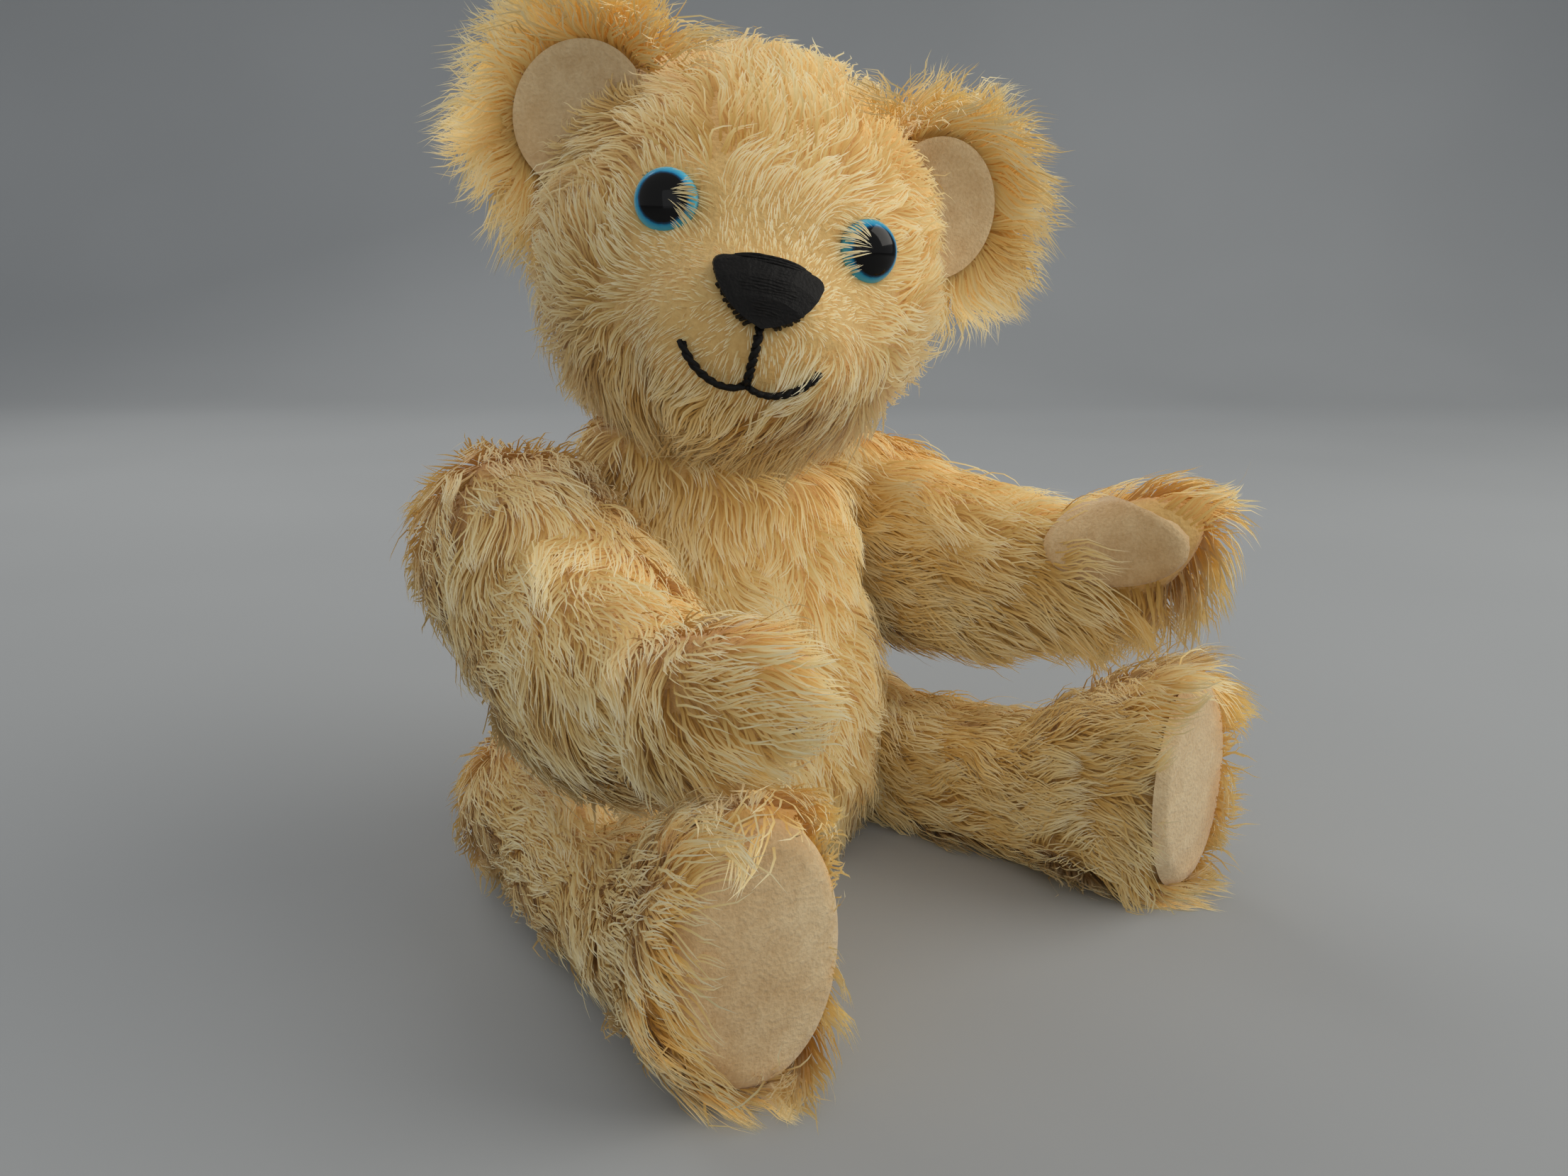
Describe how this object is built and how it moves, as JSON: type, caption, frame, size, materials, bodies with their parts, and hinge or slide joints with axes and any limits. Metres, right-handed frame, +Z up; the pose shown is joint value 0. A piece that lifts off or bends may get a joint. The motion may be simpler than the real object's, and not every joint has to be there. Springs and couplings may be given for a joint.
{
  "type": "jointed teddy bear",
  "caption": "Seated long-pile teddy bear with head, arms and legs that turn on hidden disc joints, felt pads, glass eyes and a stitched nose and mouth.",
  "frame": {"origin": "middle of the flat seat, on the surface the bear sits on", "axes": "+Z up; the bear faces -Y, its right side is at -X"},
  "size_m": [0.1505, 0.1292, 0.1804],
  "materials": {
    "mohair": "long wavy mohair pile, golden blond with paler tips",
    "felt": "matt wool felt",
    "eye_glass": "polished, blue ring round a black pupil",
    "thread": "black cotton embroidery thread",
    "hardboard": "plain pressed board",
    "steel": "plain bright steel"
  },
  "bodies": {
    "torso": {"torso": "mohair", "neck_body_disc": "hardboard", "neck_body_washer": "steel", "neck_pin": "steel", "right_shoulder_body_disc": "hardboard", "right_shoulder_body_washer": "steel", "right_shoulder_pin": "steel", "left_shoulder_body_disc": "hardboard", "left_shoulder_body_washer": "steel", "left_shoulder_pin": "steel", "right_hip_body_disc": "hardboard", "right_hip_body_washer": "steel", "right_hip_pin": "steel", "left_hip_body_disc": "hardboard", "left_hip_body_washer": "steel", "left_hip_pin": "steel"},
    "head": {"head": "mohair", "right_eye": "eye_glass", "left_eye": "eye_glass", "nose": "thread", "mouth_centre_stitch": "thread", "right_mouth_stitch": "thread", "left_mouth_stitch": "thread", "right_ear": "mohair", "left_ear": "mohair", "right_ear_lining": "felt", "left_ear_lining": "felt", "neck_limb_disc": "hardboard", "neck_limb_washer": "steel"},
    "right_arm": {"right_arm": "mohair", "right_paw_pad": "felt", "right_shoulder_limb_disc": "hardboard", "right_shoulder_limb_washer": "steel"},
    "left_arm": {"left_arm": "mohair", "left_paw_pad": "felt", "left_shoulder_limb_disc": "hardboard", "left_shoulder_limb_washer": "steel"},
    "right_leg": {"right_leg": "mohair", "right_foot_pad": "felt", "right_hip_limb_disc": "hardboard", "right_hip_limb_washer": "steel"},
    "left_leg": {"left_leg": "mohair", "left_foot_pad": "felt", "left_hip_limb_disc": "hardboard", "left_hip_limb_washer": "steel"}
  },
  "joints": [
    {"name": "neck_turn", "type": "hinge", "parent": "torso", "child": "head", "pos_m": [0, 0.0035, 0.093], "axis": [0.1908, -0.1366, 0.9721], "range_deg": [-90, 45]},
    {"name": "right_shoulder_turn", "type": "hinge", "parent": "torso", "child": "right_arm", "pos_m": [-0.02948, 0.00103, 0.072], "axis": [-0.9956, 0.0348, 0.0872], "range_deg": [0, 40]},
    {"name": "left_shoulder_turn", "type": "hinge", "parent": "torso", "child": "left_arm", "pos_m": [0.02862, 0.00714, 0.072], "axis": [-0.9666, -0.241, -0.0872], "range_deg": [-12, 34]},
    {"name": "right_hip_turn", "type": "hinge", "parent": "torso", "child": "right_leg", "pos_m": [-0.0261, 0.0046, 0.019], "axis": [-0.9848, 0.1736, 0], "range_deg": [-100, 0]},
    {"name": "left_hip_turn", "type": "hinge", "parent": "torso", "child": "left_leg", "pos_m": [0.0261, 0.0046, 0.019], "axis": [-0.9848, -0.1736, 0], "range_deg": [-100, 0]}
  ]
}
